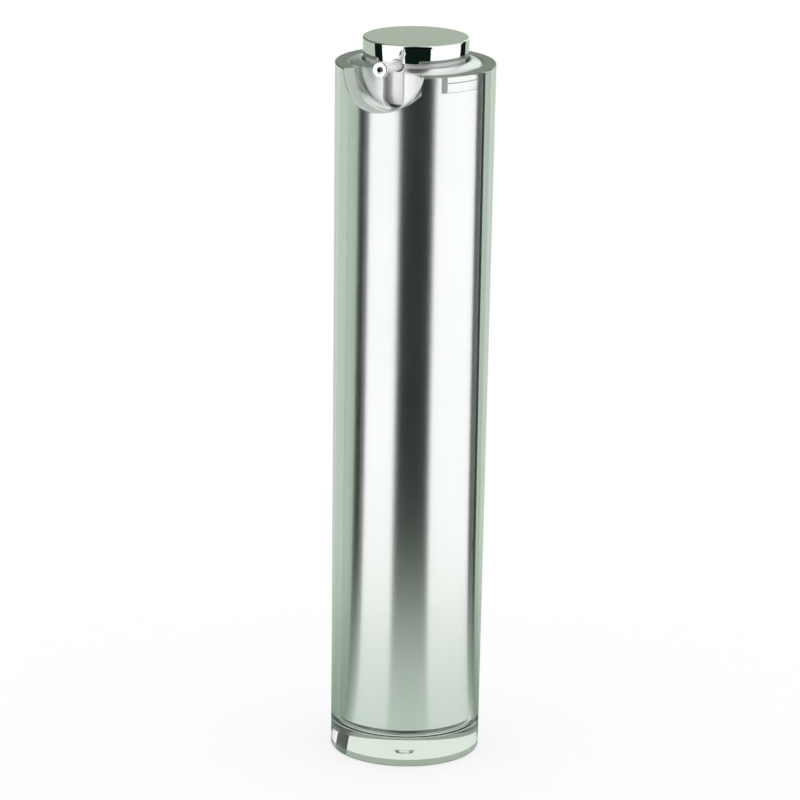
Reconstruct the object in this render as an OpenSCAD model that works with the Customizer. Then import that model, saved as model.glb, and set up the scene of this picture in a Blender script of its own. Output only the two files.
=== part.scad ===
// Airless pump bottle with a clear outer sleeve, a silver inner bottle and a press-down head.
// The nozzle points along -Y, and the origin is the centre of the base's underside.

/* [Outer sleeve] */
// Height of the sleeve's rim above the table
rim_z = 156.2; // [150:0.1:170]
// Outer radius at the foot
foot_r = 16.53; // [16.4:0.01:17]
// Outer radius at the rim
rim_r = 17.5; // [17.2:0.01:18.5]
// Chamfer of the rim's outer edge
rim_edge = 0.25; // [0.1:0.05:0.5]
// Radius of the sleeve's bore
sleeve_bore_r = 14.6; // [14.4:0.01:15]
// Seam between the base plug and the sleeve
seam_z = 6.7; // [5.5:0.1:6.9]
// Radius of the round notch
notch_r = 10.1; // [9:0.1:10.6]
// Height of the notch's centre above the rim
notch_rise = 1.86; // [1:0.01:2.5]
// Turn of the notch's middle away from the nozzle
notch_turn = -7.5; // [-10:0.5:0]

/* [Base plug] */
// Round on the bottom edge
foot_round = 0.5; // [0.2:0.1:1]
// Radius of the moulding gate's recess
gate_r = 1.6; // [1.2:0.05:2.5]
// Depth of the gate's recess
gate_depth = 0.5; // [0.3:0.1:1.5]
// Radius of the air vent through the base
vent_r = 0.6; // [0.4:0.1:0.9]

/* [Inner bottle] */
// Underside of the silver inner bottle
inner_z = 7.2; // [7:0.1:8]
// Depth of its deck below the sleeve's rim
deck_drop = 17; // [16.7:0.1:19]
// Thickness of the deck
deck_t = 2; // [1.5:0.1:3]
// Wall of the inner bottle
inner_wall = 1.2; // [0.9:0.05:1.5]
// Height of the neck ring above the deck
neck_h = 1.8; // [1.6:0.1:2]
// Outer radius of the neck ring
neck_r = 10.3; // [10.1:0.05:10.35]
// Wall of the neck ring
neck_wall = 0.9; // [0.6:0.05:1]
// Thickness of the vent disc in the bottom
vent_disc_t = 2.2; // [1.5:0.1:2.5]

/* [Follower piston] */
// Height of the follower piston
follower_h = 8; // [6:0.5:10]
// Wall of the follower piston
follower_wall = 1.2; // [0.9:0.1:1.8]
// Height of each wiping lip
lip_h = 1.6; // [1:0.1:2]
// How far the piston's waist stands back from its lips
waist_gap = 0.7; // [0.3:0.1:1]
// Gap between the piston and the vent disc
follower_gap = 0.3; // [0.2:0.1:1]

/* [Pump] */
// Length of the pump chamber below the deck
chamber_h = 29.2; // [28.5:0.1:31]
// Outer radius of the chamber
chamber_r = 5.6; // [5.4:0.05:6]
// Bore radius of the chamber
chamber_bore_r = 4.6; // [4.4:0.05:4.9]
// Radius of the chamber's flange
flange_r = 9.2; // [8.5:0.1:9.3]
// Thickness of the chamber's flange
flange_t = 1.3; // [1.1:0.1:1.6]
// Thickness of the neck gasket
gasket_t = 0.6; // [0.4:0.1:0.8]
// Thickness of the inlet seat
seat_t = 2; // [1.5:0.1:2.5]
// Radius of the inlet hole
inlet_r = 1.3; // [1:0.05:1.5]
// Radius of the inlet ball
ball_r = 2; // [1.7:0.05:2.1]
// Lift of the inlet ball
ball_lift = 1; // [0.6:0.1:1.4]
// Wall of the ball cage
cage_wall = 0.8; // [0.6:0.1:1]
// Length of the return spring at rest
spring_h = 12; // [11.5:0.5:13]
// Wire diameter of the return spring
spring_wire = 0.7; // [0.5:0.05:0.8]
// Height of the seal piston
seal_h = 5; // [4:0.5:5.5]
// How far the seal piston can move on the stem
seal_play = 1.2; // [0.8:0.1:1.5]
// Outer radius of the stem
stem_r = 1.9; // [1.7:0.05:2.1]
// Bore radius of the stem
stem_bore_r = 0.9; // [0.7:0.05:1]
// Radius of the stem's two shoulders
shoulder_r = 2.9; // [2.7:0.1:3.2]
// Thickness of each stem shoulder
shoulder_t = 1.4; // [1:0.1:1.6]

/* [Closure] */
// Outer radius of the closure's skirt
closure_r = 11.6; // [11.5:0.05:11.7]
// Wall of the closure
closure_wall = 1.2; // [1:0.05:1.3]
// Thickness of the closure's plate
closure_plate_t = 1.2; // [1:0.1:1.4]
// Room left between the tower and the nozzle when the head is down
tower_gap = 1; // [0.5:0.1:3]

/* [Shoulder collar] */
// Top of the collar above the rim
collar_proud = 0.55; // [0.3:0.05:1]
// Radius of the collar's opening
opening_r = 11.85; // [11.8:0.01:11.95]
// Round on the collar's upper outer edge
collar_round = 1.15; // [0.6:0.05:1.4]
// Distance from the axis to the flat face behind the notch
flat_d = 13; // [12.6:0.05:13.6]
// Width of the slot that the nozzle moves in
slot_w = 4.65; // [4.4:0.05:5]
// Depth of the slot below the sleeve's rim
slot_drop = 7.9; // [7.6:0.1:8.4]
// Thickness of the snap band
band_t = 0.55; // [0.4:0.05:0.7]
// Height of the snap band
band_h = 3.9; // [3:0.1:4.5]
// Half angle of the band's front gap
band_half_gap = 50; // [46:1:58]

/* [Head] */
// Stroke of the head
stroke = 6; // [4:0.5:6]
// Height of the chrome button's skirt above the sleeve's rim
skirt_rise = 1.65; // [1.3:0.05:2]
// Height of the chrome button
button_h = 3.95; // [3.5:0.05:5]
// Outer radius of the button
button_r = 11.55; // [11.4:0.01:11.6]
// Wall of the chrome shell
shell_t = 0.5; // [0.3:0.05:0.7]
// Chamfer of the button's top edge
button_edge = 0.35; // [0.2:0.05:0.5]
// Outer radius of the white core's drum under the chrome shell
core_r = 11.0; // [10.9:0.05:11.2]
// Outer radius of the white core's skirt, the back wall that the slot shows
skirt_r = 10.1; // [9.8:0.05:10.3]
// Wall of the white core
core_wall = 1.0; // [0.8:0.05:1.1]
// Room left under the skirt when the head is pressed right down
landing_gap = 0.5; // [0.3:0.1:0.8]
// Thickness of the core's top plate
plate_t = 1.2; // [1:0.1:1.6]
// Outer radius of the stem socket
socket_r = 3.2; // [3:0.1:3.4]
// Length of the stem socket
socket_h = 9.6; // [8:0.1:10]
// How far the stem's end stays below the plate
stem_drop = 3; // [2.5:0.1:3.5]

/* [Nozzle] */
// Distance of the nozzle's face from the axis
nozzle_reach = 21.3; // [19:0.1:23]
// Height of the middle of the nozzle's face above the button's lower edge
nozzle_rise = 0.4; // [0.1:0.05:0.8]
// Upward tilt of the nozzle
nozzle_tilt = 4.5; // [3:0.5:6]
// Radius of the tube at its root
tube_root_r = 1.2; // [1.1:0.05:1.4]
// Radius of the tube behind its tip
tube_neck_r = 0.85; // [0.8:0.05:1]
// Radius of the tip's round face
tip_r = 1.78; // [1.6:0.01:1.9]
// Thickness of the tip
tip_t = 1.5; // [1.2:0.1:2]
// Radius of the outlet hole
outlet_r = 0.65; // [0.5:0.05:0.7]
// Radius of the liquid passage in the tube
passage_r = 0.5; // [0.4:0.05:0.6]

/* [Fits] */
// Radial clearance of a sliding seal
seal_clearance = 0.05; // [0.03:0.01:0.08]
// Radial gap between the sleeve's bore and what sits in it
seat_gap = 0.1; // [0.05:0.01:0.2]
// Gap between parts of the moving head and fixed parts
head_gap = 0.3; // [0.2:0.05:0.35]

/* [Hidden] */
$fn = 96;
cut = 0.02;
deck_z = rim_z - deck_drop;
skirt_z = rim_z + skirt_rise;
button_top_z = skirt_z + button_h;
nozzle_z = skirt_z + nozzle_rise;
slot_z = rim_z - slot_drop;
chamber_z = deck_z - chamber_h;
inner_r = sleeve_bore_r - seat_gap;
inner_bore_r = inner_r - inner_wall;
vent_disc_z = inner_z + vent_disc_t;
follower_z = vent_disc_z + follower_gap;
follower_r = inner_bore_r - seal_clearance;
deck_hole_r = chamber_r + seat_gap;
neck_bore_r = neck_r - neck_wall;
flange_z = deck_z + gasket_t;
flange_top_z = flange_z + flange_t;
seat_top_z = chamber_z + seat_t;
ball_seat_h = sqrt(ball_r * ball_r - inlet_r * inlet_r);
ball_z = seat_top_z + ball_seat_h;
cage_top_z = ball_z + ball_r + ball_lift + cage_wall + cut;
spring_r = chamber_bore_r - 2 * seal_clearance - spring_wire / 2;
spring_bottom_z = cage_top_z;
stem_z = spring_bottom_z + spring_h;
seal_z = stem_z + shoulder_t;
upper_shoulder_z = seal_z + seal_h + seal_play;
stem_top_z = button_top_z - shell_t - plate_t - stem_drop;
closure_plate_z = flange_top_z;
closure_top_z = closure_plate_z + closure_plate_t;
core_z = closure_top_z + landing_gap + stroke;
tower_r = skirt_r - core_wall - head_gap;
collar_top_z = rim_z + collar_proud;
collar_r = sleeve_bore_r - seat_gap;
band_top_z = rim_z - seat_gap;
plate_top_z = button_top_z - shell_t;
plate_z = plate_top_z - plate_t;
socket_z = plate_z - socket_h;
notch_centre_z = rim_z + notch_rise;
root_d = skirt_r - core_wall / 2;
root_z = nozzle_z - (nozzle_reach - root_d) * tan(nozzle_tilt);
tube_length = (nozzle_reach - tip_t - root_d) / cos(nozzle_tilt);
tube_inner_z = root_z - (root_d - socket_r) * tan(nozzle_tilt);
tower_top_z = tube_inner_z - tube_root_r - stroke - tower_gap;

// Outer radius of the tapered body at a height
function body_r(z) = foot_r + (rim_r - foot_r) * z / rim_z;

// A closed ring between two radii and two heights
module ring(outer_r, bore_r, low_z, high_z) {
    translate([0, 0, low_z])
        difference() {
            cylinder(r = outer_r, h = high_z - low_z);
            translate([0, 0, -1])
                cylinder(r = bore_r, h = high_z - low_z + 2);
        }
}

// The round notch, as a drum that crosses the sleeve's front wall
module notch_cutter() {
    rotate([0, 0, notch_turn])
        translate([0, 0, notch_centre_z])
            rotate([90, 0, 0])
                cylinder(r = notch_r, h = 2 * rim_r);
}

// A wedge about the axis, as wide as the band's front gap plus a margin on each side
module front_wedge(half_angle, low_z, high_z) {
    far = rim_r * 3;
    translate([0, 0, low_z])
        linear_extrude(high_z - low_z)
            polygon([
                [0, 0],
                for (a = [-half_angle : half_angle / 4 : half_angle])
                    [far * sin(a + notch_turn), -far * cos(a + notch_turn)]
            ]);
}

// The line of the nozzle, from its root outwards and up
module along_nozzle(distance) {
    translate([0, -root_d, root_z])
        rotate([90 - nozzle_tilt, 0, 0])
            translate([0, 0, distance])
                children();
}

// Clear plug that closes the sleeve from below and carries the inner bottle
module base_plug() {
    color([0.93, 0.95, 0.94, 0.4])
        difference() {
            rotate_extrude()
                difference() {
                    union() {
                        polygon([
                            [0, 0], [foot_r - foot_round, 0],
                            for (a = [15 : 15 : 75])
                                [foot_r - foot_round * (1 - sin(a)), foot_round * (1 - cos(a))],
                            [body_r(foot_round), foot_round], [body_r(seam_z), seam_z], [0, seam_z]
                        ]);
                        translate([0, seam_z - 1])
                            square([inner_r, inner_z - seam_z + 1]);
                    }
                    translate([-1, -1])
                        square([1 + gate_r, 1 + gate_depth]);
                }
            translate([0, 0, -1])
                cylinder(r = vent_r, h = inner_z + 2);
        }
}

// Thick clear sleeve with the round notch under the nozzle
module outer_sleeve() {
    color([0.93, 0.95, 0.94, 0.3])
        difference() {
            rotate_extrude()
                polygon([
                    [sleeve_bore_r, seam_z], [body_r(seam_z), seam_z],
                    [body_r(rim_z - rim_edge), rim_z - rim_edge], [rim_r - rim_edge, rim_z],
                    [sleeve_bore_r, rim_z]
                ]);
            notch_cutter();
        }
}

// Silver inner bottle, open at the bottom, with a deck and a neck ring for the pump
module inner_bottle() {
    color([0.75, 0.76, 0.76])
        union() {
            ring(inner_r, inner_bore_r, inner_z, deck_z - deck_t / 2);
            ring(inner_r, deck_hole_r, deck_z - deck_t, deck_z);
            ring(neck_r, neck_bore_r, deck_z - deck_t / 2, deck_z + neck_h);
        }
}

// Disc in the bottom of the inner bottle that stops the follower and lets air in
module vent_disc() {
    color([0.8, 0.8, 0.8])
        difference() {
            translate([0, 0, inner_z])
                cylinder(r = inner_bore_r - cut, h = vent_disc_t);
            for (a = [0 : 90 : 270])
                rotate([0, 0, a])
                    translate([inner_bore_r / 2, 0, inner_z - 1])
                        cylinder(r = vent_r, h = vent_disc_t + 2);
        }
}

// Follower piston that rises under the product as it is used
module follower_piston() {
    waist_r = follower_r - waist_gap;
    top_z = follower_z + follower_h;
    color([0.9, 0.9, 0.88])
        rotate_extrude()
            polygon([
                [0, top_z - lip_h - follower_wall], [waist_r - follower_wall, top_z - lip_h - follower_wall],
                [waist_r - follower_wall, follower_z], [follower_r, follower_z],
                [follower_r, follower_z + lip_h / 2], [waist_r, follower_z + lip_h],
                [waist_r, top_z - lip_h], [follower_r, top_z - lip_h / 2],
                [follower_r, top_z], [follower_r - waist_gap, top_z],
                [waist_r - follower_wall, top_z - lip_h], [0, top_z - lip_h]
            ]);
}

// Soft gasket under the chamber's flange
module neck_gasket() {
    color([0.85, 0.85, 0.83])
        ring(flange_r, deck_hole_r, deck_z, flange_z);
}

// Pump chamber that hangs through the deck
module pump_chamber() {
    color([0.93, 0.93, 0.91])
        union() {
            ring(chamber_r, chamber_bore_r, chamber_z, flange_top_z);
            ring(flange_r, chamber_bore_r, flange_z, flange_top_z);
        }
}

// Seat of the inlet valve, pressed into the bottom of the chamber
module inlet_seat() {
    color([0.9, 0.9, 0.88])
        difference() {
            translate([0, 0, chamber_z])
                cylinder(r = chamber_bore_r - cut, h = seat_t);
            translate([0, 0, chamber_z - 1])
                cylinder(r = inlet_r, h = seat_t + 2);
        }
}

// Steel ball of the inlet valve
module inlet_ball() {
    color([0.7, 0.7, 0.72])
        translate([0, 0, ball_z + cut])
            sphere(r = ball_r);
}

// Cage that keeps the ball over its seat
module ball_cage() {
    cage_r = chamber_bore_r - cut;
    color([0.88, 0.88, 0.86])
        union() {
            ring(cage_r, ball_r + seat_gap, seat_top_z, cage_top_z);
            ring(ball_r + seat_gap + cut, inlet_r, cage_top_z - cage_wall, cage_top_z);
        }
}

// Return spring, hidden in the chamber, as the plain sleeve that its coils fill
module return_spring() {
    color([0.7, 0.7, 0.72])
        ring(spring_r + spring_wire / 2, spring_r - spring_wire / 2, spring_bottom_z, stem_z);
}

// Seal piston that wipes the chamber and opens the stem's inlet as it moves on the stem
module seal_piston() {
    color([0.87, 0.87, 0.85])
        ring(chamber_bore_r - seal_clearance, stem_r + seal_clearance, seal_z, seal_z + seal_h);
}

// Hollow stem that carries the head and pushes the seal piston
module pump_stem() {
    color([0.93, 0.93, 0.91])
        union() {
            ring(stem_r, stem_bore_r, stem_z, stem_top_z);
            ring(shoulder_r, stem_bore_r, stem_z, seal_z);
            ring(shoulder_r, stem_bore_r, upper_shoulder_z, upper_shoulder_z + shoulder_t / 2);
        }
}

// Guide that holds the stem upright in the top of the chamber
module stem_guide() {
    color([0.88, 0.88, 0.86])
        ring(chamber_bore_r - cut, stem_r + seal_clearance, flange_top_z - flange_t, flange_top_z);
}

// Closure that clamps the pump on the neck, with the tower that guides the head
module pump_closure() {
    color([0.95, 0.95, 0.94])
        union() {
            ring(closure_r, neck_r + cut, deck_z, closure_plate_z);
            ring(closure_r, socket_r + head_gap, closure_plate_z, closure_top_z);
            ring(tower_r, tower_r - closure_wall, closure_plate_z, tower_top_z);
        }
}

// Silver collar that fills the sleeve's mouth, with a flat front and the nozzle's slot
module shoulder_collar() {
    slot_r = slot_w / 2;
    color([0.75, 0.76, 0.76])
        difference() {
            rotate_extrude()
                polygon([
                    [opening_r, deck_z], [collar_r, deck_z], [collar_r, collar_top_z - collar_round],
                    for (a = [15 : 15 : 90]) [
                        collar_r - collar_round * (1 - cos(a)),
                        collar_top_z - collar_round * (1 - sin(a))
                    ],
                    [opening_r, collar_top_z]
                ]);
            intersection() {
                translate([-rim_r, -rim_r - flat_d, deck_z])
                    cube([2 * rim_r, rim_r, rim_z]);
                notch_cutter();
            }
            translate([0, 0, slot_z + slot_r])
                rotate([90, 0, 0])
                    cylinder(r = slot_r, h = 2 * rim_r);
            translate([-slot_r, -2 * rim_r, slot_z + slot_r])
                cube([slot_w, 2 * rim_r, rim_z]);
            difference() {
                ring(rim_r, collar_r - band_t, band_top_z - band_h, collar_top_z + 1);
                front_wedge(band_half_gap - 1, band_top_z - band_h - 1, collar_top_z + 2);
            }
        }
}

// Open band that snaps the collar into the sleeve's mouth
module snap_band() {
    color([0.85, 0.86, 0.85])
        difference() {
            ring(collar_r, collar_r - band_t + cut, band_top_z - band_h, band_top_z);
            front_wedge(band_half_gap, band_top_z - band_h - 1, band_top_z + 1);
        }
}

// White core of the head: a skirt that slides in the collar and a socket for the stem
module actuator_core() {
    color([0.96, 0.96, 0.95])
        difference() {
            union() {
                ring(core_r, core_r - core_wall, skirt_z, plate_top_z);
                ring(core_r, skirt_r - core_wall, skirt_z, skirt_z + core_wall);
                ring(skirt_r, skirt_r - core_wall, core_z, skirt_z + core_wall);
                translate([0, 0, plate_z])
                    cylinder(r = core_r - core_wall / 2, h = plate_t);
                ring(socket_r, stem_r + cut, socket_z, plate_z + plate_t / 2);
                translate([0, 0, stem_top_z])
                    cylinder(r = socket_r, h = plate_top_z - stem_top_z);
            }
            translate([0, 0, stem_top_z - 1])
                cylinder(r = stem_bore_r, h = 1 + root_z + passage_r - stem_top_z);
            along_nozzle(-root_d)
                cylinder(r = tube_root_r, h = 2 * root_d);
        }
}

// Thin tube that carries the product out under the button
module nozzle_tube() {
    color([0.94, 0.94, 0.93])
        difference() {
            along_nozzle(-root_d + socket_r)
                union() {
                    cylinder(r = tube_root_r - cut, h = root_d - socket_r + tube_length / 2);
                    translate([0, 0, root_d - socket_r + tube_length / 2])
                        cylinder(r1 = tube_root_r - cut, r2 = tube_neck_r, h = tube_length / 2);
                }
            along_nozzle(-root_d)
                cylinder(r = passage_r, h = 2 * nozzle_reach);
        }
}

// Round tip pressed on the tube, with the outlet hole in its face
module nozzle_tip() {
    color([0.94, 0.94, 0.93])
        along_nozzle(tube_length)
            difference() {
                cylinder(r = tip_r, h = tip_t);
                translate([0, 0, -1])
                    cylinder(r = passage_r, h = tip_t + 2);
                translate([0, 0, tip_t / 3])
                    cylinder(r = outlet_r, h = tip_t);
            }
}

// Chrome shell pressed over the core, cut away where the nozzle leaves
module button_cap() {
    color([0.82, 0.83, 0.84])
        difference() {
            rotate_extrude()
                polygon([
                    [0, button_top_z], [button_r - button_edge, button_top_z],
                    [button_r, button_top_z - button_edge], [button_r, skirt_z],
                    [core_r + cut, skirt_z], [core_r + cut, plate_top_z + cut], [0, plate_top_z + cut]
                ]);
            along_nozzle(-root_d / 2)
                cylinder(r = tube_root_r + cut, h = root_d);
            translate([-tube_root_r - cut, -button_r - 1, root_z - rim_r])
                cube([2 * (tube_root_r + cut), root_d / 2, rim_r]);
        }
}

base_plug();
outer_sleeve();
inner_bottle();
vent_disc();
follower_piston();
neck_gasket();
pump_chamber();
inlet_seat();
inlet_ball();
ball_cage();
return_spring();
seal_piston();
pump_stem();
stem_guide();
pump_closure();
shoulder_collar();
snap_band();
actuator_core();
nozzle_tube();
nozzle_tip();
button_cap();
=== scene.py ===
import math

import bmesh
import bpy
from mathutils import Matrix, Vector


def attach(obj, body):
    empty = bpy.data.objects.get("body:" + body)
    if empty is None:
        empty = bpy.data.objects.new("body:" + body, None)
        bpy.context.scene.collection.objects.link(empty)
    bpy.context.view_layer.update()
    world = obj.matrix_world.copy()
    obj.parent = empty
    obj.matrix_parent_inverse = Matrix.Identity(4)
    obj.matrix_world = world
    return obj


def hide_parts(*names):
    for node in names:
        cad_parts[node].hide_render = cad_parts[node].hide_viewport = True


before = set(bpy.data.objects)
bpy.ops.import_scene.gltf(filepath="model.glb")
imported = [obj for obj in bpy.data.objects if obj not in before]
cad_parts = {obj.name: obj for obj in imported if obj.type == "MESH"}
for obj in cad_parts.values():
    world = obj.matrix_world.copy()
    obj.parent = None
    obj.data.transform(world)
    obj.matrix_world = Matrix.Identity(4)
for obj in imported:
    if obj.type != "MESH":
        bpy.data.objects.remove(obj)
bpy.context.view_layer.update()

# Camera at the photograph's angle. The bottle is seen from slightly above and from the right of the nozzle,
# through a long lens, so its sides stay nearly parallel.
MM = 0.001
view_azimuth = math.radians(21)
camera_distance = 1011.4 * MM
camera_height = 362.86 * MM
camera_yaw = -0.0022
camera_pitch = 0.2727
camera_roll = -0.0162
sensor_mm = 36
lens_mm = 213.9
nearest_seen = 0.05
farthest_seen = 20

forward = Vector((
    math.sin(camera_yaw) * math.cos(camera_pitch),
    math.cos(camera_yaw) * math.cos(camera_pitch),
    -math.sin(camera_pitch),
))
level_right = Vector((math.cos(camera_yaw), -math.sin(camera_yaw), 0))
level_down = forward.cross(level_right)
right = math.cos(camera_roll) * level_right + math.sin(camera_roll) * level_down
up = math.sin(camera_roll) * level_right - math.cos(camera_roll) * level_down
camera_data = bpy.data.cameras.new("camera")
camera_data.sensor_width = sensor_mm
camera_data.lens = lens_mm
camera_data.clip_start = nearest_seen
camera_data.clip_end = farthest_seen
camera = bpy.data.objects.new("camera", camera_data)
bpy.context.scene.collection.objects.link(camera)
camera_place = Matrix((
    (right.x, up.x, -forward.x, 0),
    (right.y, up.y, -forward.y, -camera_distance),
    (right.z, up.z, -forward.z, camera_height),
    (0, 0, 0, 1),
))
camera.matrix_world = Matrix.Rotation(view_azimuth, 4, "Z") @ camera_place
bpy.context.scene.camera = camera
bpy.context.scene.view_settings.view_transform = "Standard"


# Studio light. White softboxes stand left and right, black gaps lie between them, and the far side of the
# room is a pale green-grey. Polished metal mirrors these bands, matt surfaces get one soft even light, and
# the camera itself sees plain white.
room_grey = (0.85, 0.93, 0.88)
far_grey = (0.42, 0.48, 0.40)
left_grey = (0.16, 0.21, 0.17)
through_grey = (0.74, 0.82, 0.74)
softbox_white = (1.1, 1.1, 1.1)
gap_black = (0.003, 0.003, 0.003)
backdrop_white = (1.0, 1.0, 1.0)
matt_light = 0.95
# Each band starts at its angle from the camera's side, growing to the right, and ends at the next start.
band_starts_deg = [
    (-180, far_grey), (-171, left_grey), (-101, gap_black), (-80, softbox_white), (-27.6, gap_black),
    (34, softbox_white), (119, gap_black), (139, room_grey), (171, far_grey),
]
through_starts_deg = [
    (-180, through_grey), (-101, gap_black), (-80, softbox_white), (-27.6, gap_black),
    (34, softbox_white), (119, gap_black), (139, through_grey),
]


def link(tree, output, target):
    """Joins an output socket to an input socket."""
    tree.links.new(output, target)


def math_node(tree, operation, first, second=None):
    """The result of one operation on numbers or sockets."""
    node = tree.nodes.new("ShaderNodeMath")
    node.operation = operation
    for socket, value in zip(node.inputs, (first, second)):
        if value is None:
            continue
        if isinstance(value, (int, float)):
            socket.default_value = value
        else:
            link(tree, value, socket)
    return node.outputs[0]


def studio_bands(tree, x, y, starts_deg, interpolation="CONSTANT"):
    """The colour of the studio at the azimuth of a direction x, y, with the camera's side in the middle."""
    azimuth = math_node(tree, "ARCTAN2", x, math_node(tree, "MULTIPLY", y, -1))
    turned = math_node(tree, "SUBTRACT", azimuth, view_azimuth)
    share = math_node(tree, "DIVIDE", turned, 2 * math.pi)
    half_turn = 0.5
    whole_turn = 1
    wrapped = math_node(tree, "FRACT", math_node(tree, "ADD", share, whole_turn + half_turn))
    ramp = tree.nodes.new("ShaderNodeValToRGB")
    ramp.color_ramp.interpolation = interpolation
    stops = ramp.color_ramp.elements
    stops.remove(stops[1])
    stops[0].position = 0
    stops[0].color = (*starts_deg[0][1], 1)
    for start, colour in starts_deg[1:]:
        stops.new((start + 180) / 360).color = (*colour, 1)
    link(tree, wrapped, ramp.inputs[0])
    return ramp.outputs[0]


def mix_colour(tree, factor, first, second):
    """A colour between two others. A Mix node takes colours at sockets 6 and 7 and puts one out at 2."""
    node = tree.nodes.new("ShaderNodeMix")
    node.data_type = "RGBA"
    for socket, value in ((node.inputs[0], factor), (node.inputs[6], first), (node.inputs[7], second)):
        if isinstance(value, (int, float)):
            socket.default_value = value
        elif isinstance(value, tuple):
            socket.default_value = (*value, 1)
        else:
            link(tree, value, socket)
    return node.outputs[2]


world = bpy.data.worlds.new("studio")
bpy.context.scene.world = world
world.use_nodes = True
tree = world.node_tree
tree.nodes.clear()
direction = tree.nodes.new("ShaderNodeTexCoord").outputs["Generated"]
split = tree.nodes.new("ShaderNodeSeparateXYZ")
link(tree, direction, split.inputs[0])
light_path = tree.nodes.new("ShaderNodeLightPath")
bands = studio_bands(tree, split.outputs[0], split.outputs[1], band_starts_deg)
bands_through = studio_bands(tree, split.outputs[0], split.outputs[1], through_starts_deg)
seen = mix_colour(tree, light_path.outputs["Is Transmission Ray"], bands, bands_through)
seen = mix_colour(tree, light_path.outputs["Is Diffuse Ray"], seen, (matt_light,) * 3)
seen = mix_colour(tree, light_path.outputs["Is Camera Ray"], seen, backdrop_white)
background = tree.nodes.new("ShaderNodeBackground")
link(tree, seen, background.inputs["Color"])
link(tree, background.outputs[0], tree.nodes.new("ShaderNodeOutputWorld").inputs[0])


# White floor. It takes the contact shadow for the camera. Polished surfaces see the studio's bands in it,
# which fade towards the bottle into painted shade, greys that are darkest at its rear left and right. The
# floor lies a little below the foot, so that the clear base mirrors inside.
floor_r = 1.6
floor_sides = 96
floor_drop = 0.0001
floor_shade_reach = (0.02, 0.18)
floor_shade_most = 0.9
# Painted shade on the floor round the bottle, seen only in reflections and through the glass.
front_floor_shade = (0.60, 0.69, 0.61)
rear_floor_shade = (0.25, 0.33, 0.26)
behind_floor_shade = (0.62, 0.70, 0.62)
floor_shade_starts_deg = [
    (-180, behind_floor_shade), (-170, behind_floor_shade), (-150, rear_floor_shade), (-98, rear_floor_shade), (-76, front_floor_shade),
    (104, front_floor_shade), (124, rear_floor_shade), (150, rear_floor_shade), (170, behind_floor_shade),
]
floor_gap = (0.004, 0.010, 0.007)
floor_room = (0.48, 0.57, 0.48)
floor_far = (0.62, 0.70, 0.62)
floor_starts_deg = [
    (-180, floor_far), (-158, floor_room), (-101, floor_gap), (-78, softbox_white), (-24.5, floor_gap),
    (31, softbox_white), (112, floor_gap), (134, floor_room), (158, floor_far),
]
shadow_share = 0.3

mesh = bpy.data.meshes.new("floor")
work = bmesh.new()
bmesh.ops.create_circle(
    work, cap_ends=True, radius=floor_r, segments=floor_sides,
    matrix=Matrix.Translation((0, 0, -floor_drop)))
work.to_mesh(mesh)
work.free()
floor = bpy.data.objects.new("floor", mesh)
bpy.context.scene.collection.objects.link(floor)
floor_paint = bpy.data.materials.new("floor_paint")
floor_paint.use_nodes = True
tree = floor_paint.node_tree
tree.nodes.clear()
place_on_floor = tree.nodes.new("ShaderNodeTexCoord").outputs["Object"]
split = tree.nodes.new("ShaderNodeSeparateXYZ")
link(tree, place_on_floor, split.inputs[0])
length = tree.nodes.new("ShaderNodeVectorMath")
length.operation = "LENGTH"
link(tree, place_on_floor, length.inputs[0])


def smooth_step(tree, value, low, high, out_low, out_high):
    """A value eased from one range into another."""
    node = tree.nodes.new("ShaderNodeMapRange")
    node.interpolation_type = "SMOOTHSTEP"
    link(tree, value, node.inputs["Value"])
    for name, number in (("From Min", low), ("From Max", high), ("To Min", out_low), ("To Max", out_high)):
        node.inputs[name].default_value = number
    return node.outputs["Result"]


bands = studio_bands(tree, split.outputs[0], split.outputs[1], floor_starts_deg)
# The painted floor shade near the bottle, mixed over the bands.
near_floor_shade = studio_bands(tree, split.outputs[0], split.outputs[1], floor_shade_starts_deg, "LINEAR")
floor_shade_share = smooth_step(tree, length.outputs["Value"], *floor_shade_reach, floor_shade_most, 0)
mirrored_floor = tree.nodes.new("ShaderNodeEmission")
link(tree, mix_colour(tree, floor_shade_share, bands, near_floor_shade), mirrored_floor.inputs["Color"])
glow = tree.nodes.new("ShaderNodeEmission")
glow.inputs["Strength"].default_value = 1 - shadow_share * matt_light
matt = tree.nodes.new("ShaderNodeBsdfDiffuse")
matt.inputs["Color"].default_value = (shadow_share, shadow_share, shadow_share, 1)
white_floor = tree.nodes.new("ShaderNodeAddShader")
link(tree, glow.outputs[0], white_floor.inputs[0])
link(tree, matt.outputs[0], white_floor.inputs[1])
light_path = tree.nodes.new("ShaderNodeLightPath")
mirrored = math_node(
    tree, "MAXIMUM", light_path.outputs["Is Glossy Ray"], light_path.outputs["Is Transmission Ray"])
floor_mix = tree.nodes.new("ShaderNodeMixShader")
link(tree, mirrored, floor_mix.inputs[0])
link(tree, white_floor.outputs[0], floor_mix.inputs[1])
link(tree, mirrored_floor.outputs[0], floor_mix.inputs[2])
link(tree, floor_mix.outputs[0], tree.nodes.new("ShaderNodeOutputMaterial").inputs[0])
floor.data.materials.append(floor_paint)


# Base plug. A thick disc of polished clear acrylic, pressed into the sleeve from below. A satin strip runs
# round its lower edge, painted dark grey-green as the shade where the foot meets the floor, and the shallow
# mark of the moulding gate is in the middle of its underside.
MICRON = 1e-6
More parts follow.
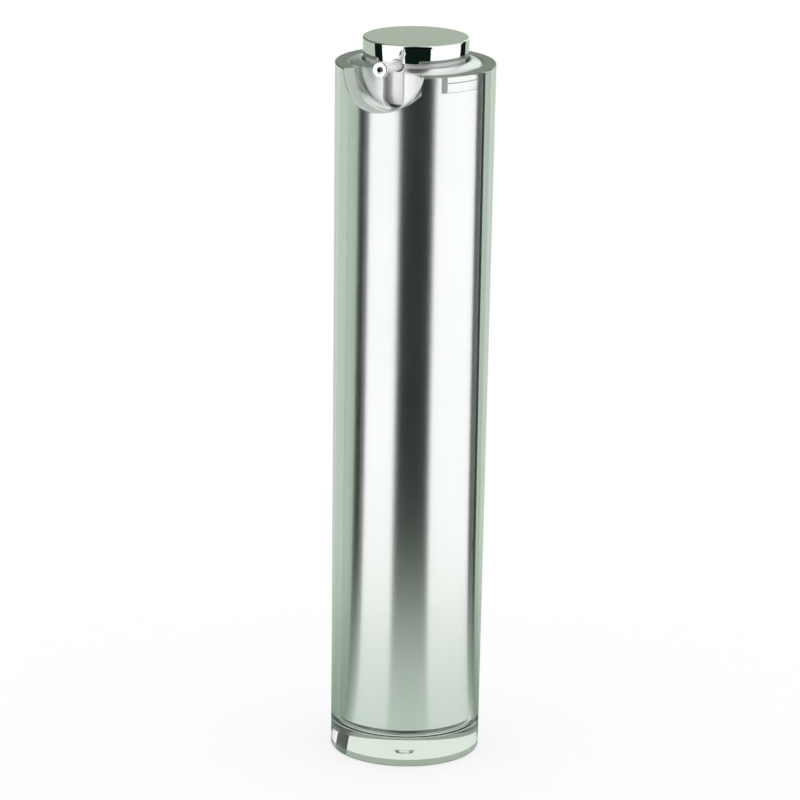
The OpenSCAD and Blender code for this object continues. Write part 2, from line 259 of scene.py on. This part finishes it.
# The bottle's own sizes are in millimetres.
seam_z = 6.7
foot_r = 16.53
rim_z = 156.2
rim_r = 17.5
silver_r = 14.5
silver_z = 7.2
foot_round = 0.5
gate_r = 1.6
gate_depth = 0.5
gate_knee = 0.8
satin_foot_h = 1.7
seam_gap = 0.04
clear_tint = (0.995, 1.0, 0.995)
clear_haze = (0.985, 0.995, 0.987)
acrylic_ior = 1.49
tone_scale = 35.0
grain_scale = 900.0
grain_detail = 3
corner_samples = 6
corner_deg = 28
round_sides = 256
axis_mm = 1e-6


def wall_r(z):
    """Outer radius of the tapered clear body at a height, in millimetres."""
    return foot_r + (rim_r - foot_r) * z / rim_z


def arc(centre_r, centre_z, radius, start_deg, end_deg, steps):
    """Points of a round, as radius and height, turning from one angle to another."""
    turns = [math.radians(start_deg + (end_deg - start_deg) * i / steps) for i in range(steps + 1)]
    return [(centre_r + radius * math.cos(turn), centre_z + radius * math.sin(turn)) for turn in turns]


def shade_smooth(work, sharp_deg):
    """Shades the work smooth, apart from edges that turn by more than the angle."""
    for face in work.faces:
        face.smooth = True
    for edge in work.edges:
        edge.smooth = len(edge.link_faces) == 2 and edge.calc_face_angle(0) < math.radians(sharp_deg)


def finish_mesh(name, mesh, work):
    """Shades the work smooth with its corners kept sharp, and links it as an object."""
    shade_smooth(work, corner_deg)
    work.to_mesh(mesh)
    work.free()
    piece = bpy.data.objects.new(name, mesh)
    bpy.context.scene.collection.objects.link(piece)
    return piece


def lathe(name, outline, sides=round_sides, placing=None):
    """A body turned about Z from a closed outline of radius and height in millimetres."""
    mesh = bpy.data.meshes.new(name)
    work = bmesh.new()
    rows = []
    for r, z in outline:
        if r < axis_mm:
            # A point on the axis is one point for the whole row.
            rows.append([work.verts.new((0, 0, z * MM))] * sides)
            continue
        rows.append([
            work.verts.new((
                r * MM * math.cos(2 * math.pi * i / sides),
                r * MM * math.sin(2 * math.pi * i / sides),
                z * MM,
            ))
            for i in range(sides)
        ])
    for lower, upper in zip(rows, rows[1:] + rows[:1]):
        for i in range(sides):
            j = (i + 1) % sides
            corners = list(dict.fromkeys((lower[i], lower[j], upper[j], upper[i])))
            if len(corners) > 2:
                work.faces.new(corners)
    bmesh.ops.recalc_face_normals(work, faces=work.faces)
    if placing is not None:
        work.transform(placing)
    return finish_mesh(name, mesh, work)


def surface_group():
    """A shader group that gives slow tone changes, slow roughness changes and a fine surface height."""
    group = bpy.data.node_groups.new("moulded_surface", "ShaderNodeTree")
    for name, kind in (
        ("Tone A", "NodeSocketColor"), ("Tone B", "NodeSocketColor"), ("Tone Scale", "NodeSocketFloat"),
        ("Roughness Low", "NodeSocketFloat"), ("Roughness High", "NodeSocketFloat"),
        ("Grain Scale", "NodeSocketFloat"),
    ):
        group.interface.new_socket(name=name, in_out="INPUT", socket_type=kind)
    for name, kind in (
        ("Colour", "NodeSocketColor"), ("Roughness", "NodeSocketFloat"), ("Height", "NodeSocketFloat"),
    ):
        group.interface.new_socket(name=name, in_out="OUTPUT", socket_type=kind)
    ins = group.nodes.new("NodeGroupInput").outputs
    outs = group.nodes.new("NodeGroupOutput").inputs
    where = group.nodes.new("ShaderNodeTexCoord").outputs["Object"]
    slow = group.nodes.new("ShaderNodeTexNoise")
    link(group, where, slow.inputs["Vector"])
    link(group, ins["Tone Scale"], slow.inputs["Scale"])
    fine = group.nodes.new("ShaderNodeTexNoise")
    fine.inputs["Detail"].default_value = grain_detail
    link(group, where, fine.inputs["Vector"])
    link(group, ins["Grain Scale"], fine.inputs["Scale"])
    link(group, mix_colour(group, slow.outputs["Fac"], ins["Tone A"], ins["Tone B"]), outs["Colour"])
    spread = math_node(group, "SUBTRACT", ins["Roughness High"], ins["Roughness Low"])
    rough = math_node(
        group, "ADD", ins["Roughness Low"], math_node(group, "MULTIPLY", spread, slow.outputs["Fac"]))
    link(group, rough, outs["Roughness"])
    link(group, fine.outputs["Fac"], outs["Height"])
    return group


moulded_surface = surface_group()


def finish_material(name, tones, roughness, metallic=0.0, transmission=0.0, ior=1.5, grain_um=0.2,
                    edge_mm=0.0):
    """A finish with its own tones, roughness range and grain; edge_mm softens the look of corners."""
    material = bpy.data.materials.new(name)
    material.use_nodes = True
    tree = material.node_tree
    shader = tree.nodes["Principled BSDF"]
    surface = tree.nodes.new("ShaderNodeGroup")
    surface.node_tree = moulded_surface
    surface.inputs["Tone A"].default_value = (*tones[0], 1)
    surface.inputs["Tone B"].default_value = (*tones[1], 1)
    surface.inputs["Tone Scale"].default_value = tone_scale
    surface.inputs["Roughness Low"].default_value = roughness[0]
    surface.inputs["Roughness High"].default_value = roughness[1]
    surface.inputs["Grain Scale"].default_value = grain_scale
    link(tree, surface.outputs["Colour"], shader.inputs["Base Color"])
    link(tree, surface.outputs["Roughness"], shader.inputs["Roughness"])
    shader.inputs["Metallic"].default_value = metallic
    shader.inputs["Transmission Weight"].default_value = transmission
    shader.inputs["IOR"].default_value = ior
    bump = tree.nodes.new("ShaderNodeBump")
    bump.inputs["Distance"].default_value = grain_um * MICRON
    link(tree, surface.outputs["Height"], bump.inputs["Height"])
    if edge_mm:
        corner = tree.nodes.new("ShaderNodeBevel")
        corner.samples = corner_samples
        corner.inputs["Radius"].default_value = edge_mm * MM
        link(tree, corner.outputs[0], bump.inputs["Normal"])
    link(tree, bump.outputs[0], shader.inputs["Normal"])
    return material


clear_acrylic = finish_material(
    "clear_acrylic", (clear_tint, clear_haze), (0.0, 0.012), transmission=1.0, ior=acrylic_ior,
    grain_um=0.02)
foot = lathe("clear_foot", [
    (0, gate_depth), (gate_r * gate_knee, gate_depth * gate_knee), (gate_r, 0),
    *arc(foot_r - foot_round, foot_round, foot_round, -90, 0, 8),
    (wall_r(satin_foot_h), satin_foot_h), (wall_r(seam_z - seam_gap), seam_z - seam_gap),
    (silver_r, seam_z - seam_gap), (silver_r, silver_z - seam_gap), (0, silver_z - seam_gap),
])
# The strip's dark grey-green is painted shade where the foot sits on the floor.
foot_edge_shade = finish_material(
    "foot_edge_shade", ((0.34, 0.40, 0.34), (0.28, 0.34, 0.28)), (0.2, 0.3), transmission=0.6, ior=acrylic_ior,
    grain_um=0.5)
foot.data.materials.append(clear_acrylic)
foot.data.materials.append(foot_edge_shade)
for face in foot.data.polygons:
    x, y, z = face.center / MM
    in_foot_shade = z < satin_foot_h and math.hypot(x, y) > foot_r - foot_round
    face.material_index = 1 if in_foot_shade else 0
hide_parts("base_plug")
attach(foot, "bottle")


# Outer sleeve. A thick-walled tube of clear acrylic, moulded with a slight taper and polished, with a satin
# rim and one round notch in it. The rim's top carries painted shade and the notch's face painted light. The
# notch's wall points at the axis, so its edge is level from outside to inside.
bore_r = 14.6
notch_turn = math.radians(-7.5)
notch_r = 10.7
notch_rise = 2.45
notch_face_r = 17.45
notch_columns = 72
plain_columns = 184
level_shares = [0.0, 0.5, 0.8, 0.9]
rim_round = 0.3
rim_round_rows = 3


def sleeve_columns():
    """Azimuths round the sleeve with the height of its rim there, closer together in the notch."""
    half_turn = math.acos(notch_rise / notch_r)
    columns = []
    for i in range(notch_columns + 1):
        turn = -half_turn + 2 * half_turn * i / notch_columns
        columns.append((
            notch_turn + notch_r * math.sin(turn) / notch_face_r,
            rim_z + notch_rise - notch_r * math.cos(turn),
        ))
    start, end = columns[-1][0], columns[0][0] + 2 * math.pi
    for i in range(1, plain_columns):
        columns.append((start + (end - start) * i / plain_columns, rim_z))
    return columns


def upright_row(work, azimuth, section):
    """The points of a section of radius and height, stood up at an azimuth that is 0 at the front."""
    return [
        work.verts.new((r * MM * math.sin(azimuth), -r * MM * math.cos(azimuth), z * MM))
        for r, z in section
    ]


def join_rows(work, rows, closed):
    """Joins each row to the next with faces, given back with the number of their row and of their point."""
    made = []
    after_rows = rows[1:] + rows[:1] if closed else rows[1:]
    for i, (row, after) in enumerate(zip(rows, after_rows)):
        for k in range(len(row)):
            m = (k + 1) % len(row)
            made.append((i, k, work.faces.new((row[k], after[k], after[m], row[m]))))
    return made


mesh = bpy.data.meshes.new("clear_sleeve")
work = bmesh.new()
rows = []
for azimuth, top in sleeve_columns():
    heights = [seam_z + (top - seam_z) * share for share in level_shares] + [top]
    outside = [(wall_r(z), z) for z in heights]
    inside = [(bore_r, z) for z in reversed(heights)]
    rows.append(upright_row(work, azimuth, outside + inside))
# The sleeve's finishes are 0 for the clear wall, 1 for the rim in painted shade and 2 for the notch in
# painted light.
for i, k, face in join_rows(work, rows, closed=True):
    on_rim = k == len(level_shares)
    if on_rim:
        face.material_index = 2 if i < notch_columns else 1
bmesh.ops.recalc_face_normals(work, faces=work.faces)
sleeve = finish_mesh("clear_sleeve", mesh, work)


def apply_modifiers(piece):
    """Turns the piece and its modifiers into one plain mesh."""
    graph = bpy.context.evaluated_depsgraph_get()
    made = bpy.data.meshes.new_from_object(piece.evaluated_get(graph))
    piece.modifiers.clear()
    piece.data = made


def round_corners(piece, width_mm, round_rows):
    """Gives the piece's sharp corners a small real round."""
    bevel = piece.modifiers.new("corner round", "BEVEL")
    bevel.width = width_mm * MM
    bevel.segments = round_rows
    bevel.limit_method = "ANGLE"
    bevel.angle_limit = math.radians(corner_deg)
    apply_modifiers(piece)


# One satin face, painted dark as shade on the rim and near white as light in the notch.
rim_acrylic_shaded = finish_material(
    "rim_acrylic_shaded", ((0.30, 0.36, 0.29), (0.25, 0.31, 0.24)), (0.3, 0.38), transmission=0.45,
    ior=acrylic_ior, grain_um=0.5)
notch_acrylic_lit = finish_material(
    "notch_acrylic_lit", ((0.90, 1.0, 0.93), (0.78, 0.89, 0.81)), (0.3, 0.38), transmission=0.35,
    ior=acrylic_ior, grain_um=0.5)
for material in (clear_acrylic, rim_acrylic_shaded, notch_acrylic_lit):
    sleeve.data.materials.append(material)
round_corners(sleeve, rim_round, rim_round_rows)
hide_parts("outer_sleeve")
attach(sleeve, "bottle")


# Inner bottle. A thin moulded tube with a vacuum-metallised silver skin, slid into the sleeve so that the
# clear wall magnifies it to the full width. Its chamfered lower edge is a little rougher and painted dark
# as shade where it sits on the base, and its deck and neck are hidden under the collar.
deck_z = 139.2
deck_t = 2.0
inner_wall = 1.2
neck_r = 10.3
neck_wall = 0.9
neck_h = 1.8
deck_hole_r = 5.7
edge_in = 0.3
edge_h = 0.9
skin_t = 0.01
skin_rise = 0.1
skin_lap = 1.0
silver_light = (0.97, 0.98, 0.97)
silver_dark = (0.94, 0.955, 0.945)

satin_silver = finish_material(
    "satin_silver", (silver_light, silver_dark), (0.2, 0.26), metallic=1.0, grain_um=0.4)
inner = lathe("silver_bottle", [
    (silver_r - inner_wall, silver_z), (silver_r - edge_in, silver_z), (silver_r, silver_z + edge_h),
    (silver_r + skin_t, silver_z + edge_h + skin_rise), (silver_r + skin_t, deck_z + skin_lap),
    (silver_r, deck_z + skin_lap), (silver_r, deck_z),
    (neck_r, deck_z), (neck_r, deck_z + neck_h), (neck_r - neck_wall, deck_z + neck_h),
    (neck_r - neck_wall, deck_z), (deck_hole_r, deck_z), (deck_hole_r, deck_z - deck_t),
    (silver_r - inner_wall, deck_z - deck_t),
])
# Painted shade: a dark copy of the silver on the chamfer in the joint over the base.
painted_shade_edge = finish_material(
    "painted_shade_edge", ((0.26, 0.30, 0.27), (0.20, 0.24, 0.21)), (0.2, 0.3), metallic=0.8)
inner.data.materials.append(satin_silver)
inner.data.materials.append(painted_shade_edge)
for face in inner.data.polygons:
    face.material_index = 1 if face.center.z < (silver_z + edge_h) * MM else 0
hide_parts("inner_bottle")
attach(inner, "bottle")


# Shoulder collar. A moulded and metallised ring that stands just above the rim and falls off slightly to
# its rounded outer edge. Behind the notch it has a lightly bent face, with an open slot down which the
# nozzle travels.
collar_top_z = rim_z + 0.55
collar_round = 1.0
collar_edge = 0.2
collar_fall = 0.35
cone_deg = 25
opening_r = 11.85
wall_margin = 0.15
face_d = 13.0
face_round_r = 24.0
face_shift = 1.4
face_sides = 512
face_low_z = 138.3
face_high_z = rim_z + 20
drum_r = 10.1
drum_rise = 1.86
drum_sides = 96
slot_w = 4.65
slot_r = slot_w / 2
slot_z = 148.3
slot_open_z = rim_z + 10
# Distances from the axis at which the cutters start and end.
drum_from = 8
slot_from = 5
cut_to = 40
cut_sharp_deg = 20
weld_distance = 1e-6


def cut_away(piece, *cutters):
    """Takes the cutters' shapes out of the piece and deletes them."""
    for cutter in cutters:
        cut = piece.modifiers.new("cut", "BOOLEAN")
        cut.operation = "DIFFERENCE"
        cut.solver = "EXACT"
        cut.object = cutter
    apply_modifiers(piece)
    for cutter in cutters:
        bpy.data.objects.remove(cutter)
    work = bmesh.new()
    work.from_mesh(piece.data)
    bmesh.ops.remove_doubles(work, verts=work.verts, dist=weld_distance)
    shade_smooth(work, cut_sharp_deg)
    work.to_mesh(piece.data)
    work.free()


def prism(name, outline, low, high, placing):
    """A straight bar with the outline as its section, from low to high along its own Z."""
    mesh = bpy.data.meshes.new(name)
    work = bmesh.new()
    ends = [[work.verts.new((x * MM, y * MM, z * MM)) for x, y in outline] for z in (low, high)]
    work.faces.new(ends[0])
    work.faces.new(ends[1])
    for i in range(len(outline)):
        j = (i + 1) % len(outline)
        work.faces.new((ends[0][i], ends[0][j], ends[1][j], ends[1][i]))
    bmesh.ops.recalc_face_normals(work, faces=work.faces)
    work.transform(placing)
    return finish_mesh(name, mesh, work)


def full_circle(centre_z, radius, sides):
    """A circle's outline round a height, without the last point, which would repeat the first."""
    return arc(0, centre_z, radius, 0, 360, sides)[:-1]


towards_front = Matrix.Rotation(math.radians(90), 4, "X")
to_notch = Matrix.Rotation(notch_turn, 4, "Z")
bend_place = to_notch @ Matrix.Translation((face_shift * MM, (face_round_r - face_d) * MM, 0))
outer_round_z = collar_top_z - collar_round - collar_fall
inner_round_z = collar_top_z + collar_fall - collar_edge
collar = lathe("silver_collar", [
    (opening_r, deck_z), (silver_r, deck_z),
    *arc(silver_r - collar_round, outer_round_z, collar_round, 0, 90 - cone_deg, 8),
    *arc(opening_r + collar_edge, inner_round_z, collar_edge, 90 - cone_deg, 180, 6),
])
slot_outline = [
    *arc(0, slot_z + slot_r, slot_r, -180, 0, 24),
    (slot_r, slot_open_z), (-slot_r, slot_open_z),
]
drum_outline = full_circle(rim_z + drum_rise, drum_r, drum_sides)
notch_drum = prism("notch_drum", drum_outline, drum_from, cut_to, to_notch @ towards_front)
bend = lathe("face_round", [
    (0, face_low_z), (face_round_r, face_low_z), (face_round_r, face_high_z), (0, face_high_z),
], face_sides, bend_place)
cut_away(notch_drum, bend)
cut_away(collar, notch_drum, prism("slot_cut", slot_outline, slot_from, cut_to, towards_front))
collar_silver = finish_material(
    "collar_silver", ((0.97, 0.985, 0.975), (0.93, 0.955, 0.94)), (0.26, 0.34), metallic=1.0, grain_um=0.5,
    edge_mm=0.7)
collar.data.materials.append(satin_silver)
collar.data.materials.append(collar_silver)
for face in collar.data.polygons:
    x, y, z = face.center / MM
    behind_wall = math.hypot(x, y) > silver_r - wall_margin and z < outer_round_z
    face.material_index = 0 if behind_wall else 1
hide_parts("shoulder_collar")
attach(collar, "bottle")


# Snap band. An open ring of clear plastic let into the collar's outside, which holds the collar in the
# sleeve's mouth. Its lower edge and ends are dark as joints, and its middle bead's slopes are painted dark
# as shade;
# all of them show as fine lines through the wall.
band_top_z = 156.1
band_h = 3.9
band_half_gap = 50
band_rows = 104
end_rows = 2
band_r = silver_r + 0.04
bead_r = silver_r + 0.03
band_inner_r = silver_r + 0.01
bead_z = band_top_z - 1.75
line_h = 0.12
# Both slopes of the bead, which take painted shade, and the lower edge, by their place in the section.
dark_edges = (1, 2, 4)

mesh = bpy.data.meshes.new("clear_band")
work = bmesh.new()
section = [
    (band_r, band_top_z), (band_r, bead_z + line_h), (bead_r, bead_z), (band_r, bead_z - line_h),
    (band_r, band_top_z - band_h + line_h), (band_inner_r, band_top_z - band_h),
    (band_inner_r, band_top_z),
]
rows = []
for i in range(band_rows + 1):
    azimuth = notch_turn + math.radians(band_half_gap + (360 - 2 * band_half_gap) * i / band_rows)
    rows.append(upright_row(work, azimuth, section))
for i, k, face in join_rows(work, rows, closed=False):
    at_end = i < end_rows or i >= band_rows - end_rows
    face.material_index = 1 if at_end or k in dark_edges else 0
work.faces.new(rows[0])
work.faces.new(rows[-1])
bmesh.ops.recalc_face_normals(work, faces=work.faces)
band = finish_mesh("clear_band", mesh, work)
band_plastic = finish_material(
    "band_plastic", ((0.95, 0.965, 0.95), (0.92, 0.94, 0.92)), (0.2, 0.26), metallic=1.0)
# A dark copy of the band's metal: dark joints at the ends and lower edge, painted shade on the bead.
band_joint_and_shade = finish_material(
    "band_joint_and_shade", ((0.34, 0.38, 0.34), (0.28, 0.32, 0.28)), (0.3, 0.4), metallic=1.0)
band.data.materials.append(band_plastic)
band.data.materials.append(band_joint_and_shade)
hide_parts("snap_band")
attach(band, "bottle")


# Button. A shallow cap of chrome-plated plastic pressed over the core, with a crisp top edge and an arch in
# its skirt for the nozzle.
button_top_z = 161.8
button_r = 11.55
button_edge = 0.35
skirt_z = 157.85
skirt_round = 0.15
core_r = 11.0
shell_t = 0.5
shell_gap = 0.02
nozzle_reach = 21.3
nozzle_z = 158.25
nozzle_tilt = math.radians(4.5)
root_d = 9.6
arch_r = 1.35
arch_drop = 8
arch_from = 1
arch_to = 8
chrome_light = (0.93, 0.94, 0.93)
chrome_dark = (0.90, 0.91, 0.90)

root_z = nozzle_z - (nozzle_reach - root_d) * math.tan(nozzle_tilt)
along_nozzle = (
    Matrix.Translation((0, -root_d * MM, root_z * MM))
    @ Matrix.Rotation(math.radians(90) - nozzle_tilt, 4, "X")
)
chrome = finish_material(
    "chrome", (chrome_light, chrome_dark), (0.015, 0.035), metallic=1.0, grain_um=0.03)
button = lathe("chrome_button", [
    (0, button_top_z),
    *arc(button_r - button_edge, button_top_z - button_edge, button_edge, 90, 0, 6),
    *arc(button_r - skirt_round, skirt_z + skirt_round, skirt_round, 0, -90, 3),
    (core_r + shell_gap, skirt_z), (core_r + shell_gap, button_top_z - shell_t + shell_gap),
    (0, button_top_z - shell_t + shell_gap),
])
arch_outline = [*arc(0, 0, arch_r, 0, 180, 18), (-arch_r, -arch_drop), (arch_r, -arch_drop)]
cut_away(button, prism("arch_cut", arch_outline, arch_from, arch_to, along_nozzle))
button.data.materials.append(chrome)
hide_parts("button_cap")
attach(button, "head")


# Actuator core. The moulded carrier under the button, metallised so that it shines behind the slot. Its
# drum holds the button, its skirt hides the pump, and a round hole lets the spout through.
core_skirt_r = 10.9
core_wall = 1.0
core_z = 148.8
plate_t = 1.2
socket_r = 3.2
socket_z = 150.5
stem_bore_r = 1.92
stem_top_z = 157.1
core_hole_r = 1.5
core_hole_sides = 36
core_hole_from = -3
core_hole_to = 8
plate_top_z = button_top_z - shell_t
plate_z = plate_top_z - plate_t
drum_floor_z = skirt_z + core_wall

core_silver = finish_material(
    "core_silver", ((0.98, 0.985, 0.98), (0.95, 0.96, 0.95)), (0.28, 0.34), metallic=0.5)
core = lathe("silver_core", [
    (0, plate_top_z), (core_r, plate_top_z), (core_r, skirt_z), (core_skirt_r, skirt_z),
    (core_skirt_r, core_z), (core_skirt_r - core_wall, core_z), (core_skirt_r - core_wall, drum_floor_z),
    (core_r - core_wall, drum_floor_z), (core_r - core_wall, plate_z), (socket_r, plate_z),
    (socket_r, socket_z), (stem_bore_r, socket_z), (stem_bore_r, stem_top_z), (0, stem_top_z),
])
hole_outline = full_circle(0, core_hole_r, core_hole_sides)
cut_away(core, prism("core_hole_cut", hole_outline, core_hole_from, core_hole_to, along_nozzle))
core.data.materials.append(core_silver)
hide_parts("actuator_core")
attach(core, "head")


# Nozzle. A slim tapered spout with a satin metal finish leaves under the button, and ends in a small round
# chrome-plated tip with the outlet hole in its face.
tube_root_r = 1.2
tube_neck_r = 0.85
tube_from = 0.3
passage_r = 0.5
nozzle_sides = 96
tip_r = 1.78
tip_t = 1.5
tip_edge = 0.3
tip_back_share = 0.75
tip_back_l = 0.2
tip_swell_l = 0.55
hole_r = 0.65
hole_edge = 0.1
hole_depth = 1.0
tube_length = (nozzle_reach - tip_t - root_d) / math.cos(nozzle_tilt)
face_at = tube_length + tip_t
# Radii of the tube, each at its share of the length.
tube_taper = [
    (tube_root_r, 0.5), (tube_root_r * 0.93, 0.62), (tube_neck_r * 1.06, 0.82), (tube_neck_r, 0.92),
]

spout = lathe("nozzle_spout", [
    (passage_r, tube_from), (tube_root_r, tube_from),
    *[(radius, tube_length * share) for radius, share in tube_taper],
    (tube_neck_r, tube_length), (passage_r, tube_length),
], nozzle_sides, along_nozzle)
satin_chrome = finish_material(
    "satin_chrome", ((0.97, 0.975, 0.965), (0.94, 0.95, 0.94)), (0.3, 0.38), metallic=0.25, grain_um=0.1)
spout.data.materials.append(satin_chrome)
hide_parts("nozzle_tube")
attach(spout, "head")

tip = lathe("nozzle_mouth", [
    (passage_r, tube_length), (tube_neck_r, tube_length),
    (tip_r * tip_back_share, tube_length + tip_back_l), (tip_r, tube_length + tip_swell_l),
    *arc(tip_r - tip_edge, face_at - tip_edge, tip_edge, 0, 90, 5),
    (hole_r + hole_edge, face_at), (hole_r, face_at - hole_edge),
    (hole_r, face_at - hole_depth), (passage_r, face_at - hole_depth),
], nozzle_sides, along_nozzle)
chrome_tip = finish_material(
    "chrome_tip", ((0.95, 0.95, 0.94), (0.92, 0.93, 0.92)), (0.04, 0.07), metallic=1.0)
tip.data.materials.append(chrome_tip)
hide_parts("nozzle_tip")
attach(tip, "head")


# White moulded parts. The closure, the follower and most of the pump are moulded in one glossy white
# plastic. They are hidden in the bottle and keep the shapes of their solids.
white_moulding = finish_material(
    "white_moulding", ((0.93, 0.93, 0.92), (0.89, 0.9, 0.89)), (0.22, 0.32), grain_um=1.0, edge_mm=0.1)


def finish_node(name, material):
    """Gives one of the solids its finish."""
    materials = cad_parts[name].data.materials
    materials.clear()
    materials.append(material)


for name in (
    "pump_closure", "pump_chamber", "inlet_seat", "ball_cage", "seal_piston", "pump_stem",
    "stem_guide", "follower_piston",
):
    finish_node(name, white_moulding)


# Vent disc. A small disc under the follower, moulded in the same plastic as the inner bottle and metallised
# with it.
finish_node("vent_disc", satin_silver)


# Neck gasket. A soft pale rubber washer between the pump's flange and the bottle's neck. The closure
# presses it tight.
gasket_rubber = finish_material(
    "gasket_rubber", ((0.74, 0.74, 0.72), (0.66, 0.66, 0.65)), (0.55, 0.7), grain_um=4.0)
finish_node("neck_gasket", gasket_rubber)


# Steel parts. The inlet ball is ground and polished, and the spring is drawn stainless wire, shown as the
# plain sleeve that stands in for its coils.
polished_steel = finish_material(
    "polished_steel", ((0.62, 0.62, 0.63), (0.55, 0.55, 0.57)), (0.12, 0.2), metallic=1.0)
for name in ("inlet_ball", "return_spring"):
    finish_node(name, polished_steel)
